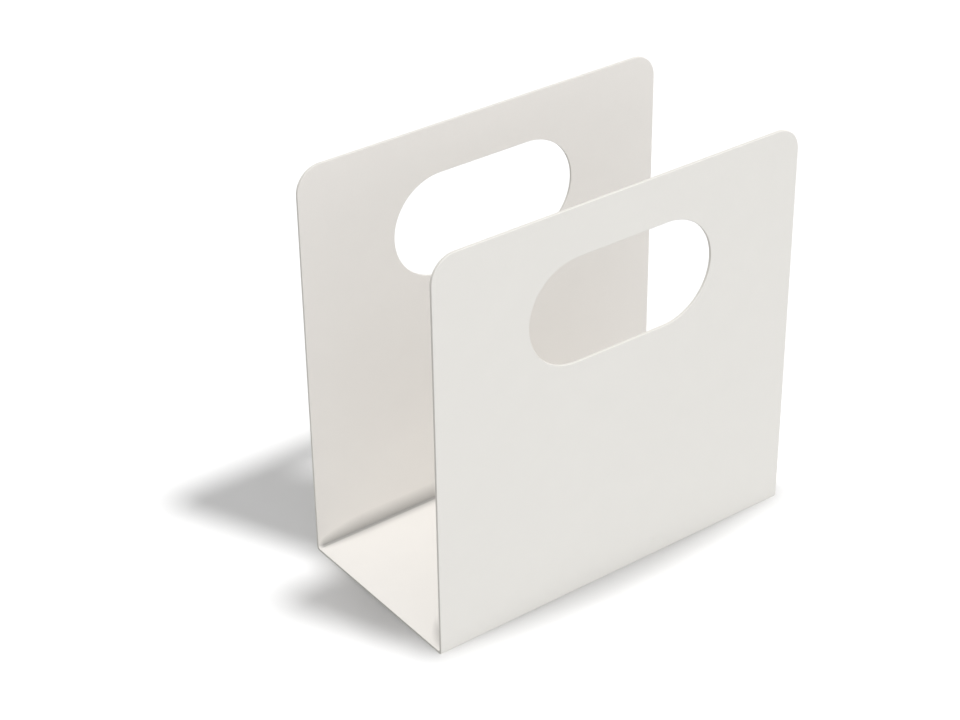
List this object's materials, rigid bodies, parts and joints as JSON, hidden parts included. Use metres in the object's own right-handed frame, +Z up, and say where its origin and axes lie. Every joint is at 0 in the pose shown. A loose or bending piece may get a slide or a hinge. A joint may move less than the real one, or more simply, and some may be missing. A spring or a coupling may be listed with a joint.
{
  "type": "cup carrier",
  "caption": "Folded board carrier for take-away cups: a flat base between upright walls, which have rounded upper corners and round-ended hand holes.",
  "frame": {"origin": "middle of the underside of the base, which stands on the ground", "axes": "+X along the walls, +Y from the front wall to the back wall, +Z up out of the base"},
  "size_m": [0.18, 0.09, 0.18],
  "materials": {
    "board": "matte"
  },
  "bodies": {
    "root": {"carrier_sheet": "board"}
  },
  "joints": []
}
